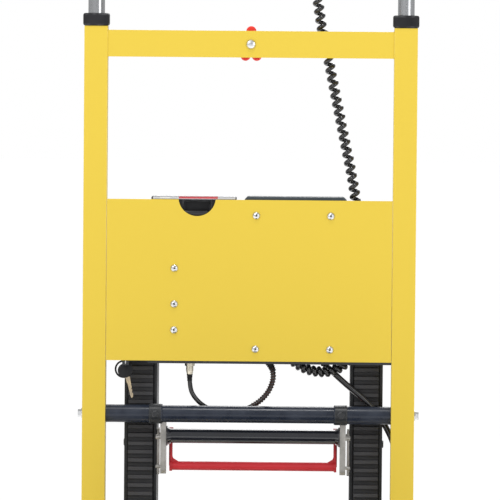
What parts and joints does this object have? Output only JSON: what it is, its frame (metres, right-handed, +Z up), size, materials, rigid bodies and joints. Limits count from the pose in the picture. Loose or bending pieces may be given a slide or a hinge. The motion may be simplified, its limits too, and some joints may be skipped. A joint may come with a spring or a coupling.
{
  "type": "stair chair",
  "caption": "Powered stair chair: folding seat, telescopic handle, ribbed crawler tracks, battery box, footplate and casters, to carry a seated patient on stairs.",
  "frame": {"origin": "centre of the footprint, on the floor under the wheels", "axes": "+Z up, -Y the way the passenger faces, +X to the left hand of the seated passenger"},
  "size_m": [0.514, 0.662, 1.471],
  "materials": {
    "yellow_paint": "gloss powder coat",
    "zinc": "bright zinc",
    "black_metal": "satin black",
    "slate_tube": "satin slate black",
    "gloss_tube": "gloss black",
    "hanger_steel": "dull zinc",
    "red_paint": "gloss red",
    "red_plastic": "gloss",
    "black_plastic": "fine grain",
    "controller_grey": "satin",
    "nickel": "nickel plate",
    "key_brass": "worn",
    "chrome": "polished",
    "grip_foam": "matt",
    "belt_rubber": "ribbed, worn matt",
    "machined_steel": "turned",
    "cast_alloy": "cast",
    "motor_paint": "satin black",
    "wheel_tyre": "matt",
    "fork_zinc": "zinc",
    "seat_vinyl": "black vinyl",
    "sheet_alloy": "satin sheet",
    "cord_black": "satin"
  },
  "bodies": {
    "chassis": {"post_left": "yellow_paint", "post_right": "yellow_paint", "top_crossbar": "yellow_paint", "clamp_bolt": "zinc", "back_panel": "yellow_paint", "panel_rivets": "zinc", "box_cover": "black_metal", "box_floor": "black_metal", "controller": "controller_grey", "cable_gland": "nickel", "key_hook": "black_metal", "cross_tube": "slate_tube", "end_bolts": "zinc", "cross_collars": "black_metal", "hanger_left": "hanger_steel", "hanger_right": "hanger_steel", "spreader_tube": "gloss_tube", "axle_plate_left": "black_metal", "axle_plate_right": "black_metal", "gearbox": "cast_alloy", "drive_motor": "motor_paint", "rear_crossbar": "yellow_paint", "base_frame": "yellow_paint", "front_stand": "yellow_paint", "seat_hinge": "zinc", "foot_hinge": "zinc", "post_caps": "black_plastic", "coiled_cord": "cord_black", "loop_cable": "cord_black", "motor_lead": "cord_black"},
    "knob": {"clamp_knob": "red_plastic"},
    "battery_pack": {"battery": "black_plastic"},
    "key": {"spare_key": "key_brass"},
    "bail": {"release_bail": "red_paint"},
    "track": {"belt_left": "belt_rubber", "belt_right": "belt_rubber", "track_plate_inner_left": "black_metal", "track_plate_inner_right": "black_metal", "track_plate_outer_left": "black_metal", "track_plate_outer_right": "black_metal", "track_slider_left": "black_plastic", "track_slider_right": "black_plastic", "track_keeper": "hanger_steel", "track_rungs": "black_metal"},
    "drive": {"drive_shaft_set": "machined_steel"},
    "idler_l": {"idler_left": "black_plastic"},
    "idler_r": {"idler_right": "black_plastic"},
    "wheel_l": {"rear_wheel_left": "wheel_tyre"},
    "wheel_r": {"rear_wheel_right": "wheel_tyre"},
    "fork_l": {"caster_fork_left": "fork_zinc"},
    "fork_r": {"caster_fork_right": "fork_zinc"},
    "caster_l": {"caster_wheel_left": "wheel_tyre"},
    "caster_r": {"caster_wheel_right": "wheel_tyre"},
    "handle": {"handle_tube": "chrome", "hand_grips": "grip_foam", "control_unit": "black_plastic"},
    "rocker": {"control_rocker": "black_plastic"},
    "seat": {"seat_pan": "sheet_alloy", "seat_cushion": "seat_vinyl"},
    "foot": {"footplate": "sheet_alloy"}
  },
  "joints": [
    {"name": "handle_slide", "type": "slide", "parent": "chassis", "child": "handle", "axis": [0, 0, 1], "range_m": [-0.18, 0.08], "deforming": ["coiled_cord"]},
    {"name": "rocker_tilt", "type": "hinge", "parent": "handle", "child": "rocker", "pos_m": [0.079, 0.193, 1.413], "axis": [1, 0, 0], "range_deg": [-10, 10], "stiffness_Nm_per_rad": 0.05},
    {"name": "knob_turn", "type": "hinge", "parent": "chassis", "child": "knob", "pos_m": [0, 0.181, 1.124], "axis": [0, 1, 0], "continuous": true},
    {"name": "battery_lift", "type": "slide", "parent": "chassis", "child": "battery_pack", "axis": [0, 0, 1], "range_m": [0, 0.2]},
    {"name": "key_swing", "type": "hinge", "parent": "chassis", "child": "key", "pos_m": [-0.185, 0.159, 0.643], "axis": [0, 1, 0], "range_deg": [-30, 30]},
    {"name": "bail_lift", "type": "hinge", "parent": "chassis", "child": "bail", "pos_m": [0.0075, 0.193, 0.532], "axis": [1, 0, 0], "range_deg": [0, 30], "stiffness_Nm_per_rad": 0.8, "springref_deg": -17.19},
    {"name": "track_fold", "type": "hinge", "parent": "chassis", "child": "track", "pos_m": [0, 0.251, 0.08], "axis": [-1, 0, 0], "range_deg": [0, 35]},
    {"name": "drive_spin", "type": "hinge", "parent": "track", "child": "drive", "pos_m": [0, 0.251, 0.08], "axis": [1, 0, 0], "continuous": true},
    {"name": "idler_left_spin", "type": "hinge", "parent": "track", "child": "idler_l", "pos_m": [0, 0.251, 0.7277], "axis": [1, 0, 0], "continuous": true},
    {"name": "idler_right_spin", "type": "hinge", "parent": "track", "child": "idler_r", "pos_m": [0, 0.251, 0.7277], "axis": [1, 0, 0], "continuous": true},
    {"name": "wheel_left_spin", "type": "hinge", "parent": "chassis", "child": "wheel_l", "pos_m": [0, 0.251, 0.08], "axis": [1, 0, 0], "continuous": true},
    {"name": "wheel_right_spin", "type": "hinge", "parent": "chassis", "child": "wheel_r", "pos_m": [0, 0.251, 0.08], "axis": [1, 0, 0], "continuous": true},
    {"name": "fork_left_swivel", "type": "hinge", "parent": "chassis", "child": "fork_l", "pos_m": [-0.2325, -0.1985, 0.143], "axis": [0, 0, 1], "continuous": true},
    {"name": "fork_right_swivel", "type": "hinge", "parent": "chassis", "child": "fork_r", "pos_m": [0.2325, -0.1985, 0.143], "axis": [0, 0, 1], "continuous": true},
    {"name": "caster_left_spin", "type": "hinge", "parent": "fork_l", "child": "caster_l", "pos_m": [-0.2325, -0.1685, 0.05], "axis": [1, 0, 0], "continuous": true},
    {"name": "caster_right_spin", "type": "hinge", "parent": "fork_r", "child": "caster_r", "pos_m": [0.2325, -0.1685, 0.05], "axis": [1, 0, 0], "continuous": true},
    {"name": "seat_fold", "type": "hinge", "parent": "chassis", "child": "seat", "pos_m": [0, 0.089, 0.372], "axis": [-1, 0, 0], "range_deg": [0, 85]},
    {"name": "foot_fold", "type": "hinge", "parent": "chassis", "child": "foot", "pos_m": [0, -0.223, 0.142], "axis": [-1, 0, 0], "range_deg": [0, 88]}
  ],
  "couplings": [
    {"joint": "idler_left_spin", "follows": "drive_spin", "ratio": 1},
    {"joint": "idler_right_spin", "follows": "drive_spin", "ratio": 1}
  ]
}
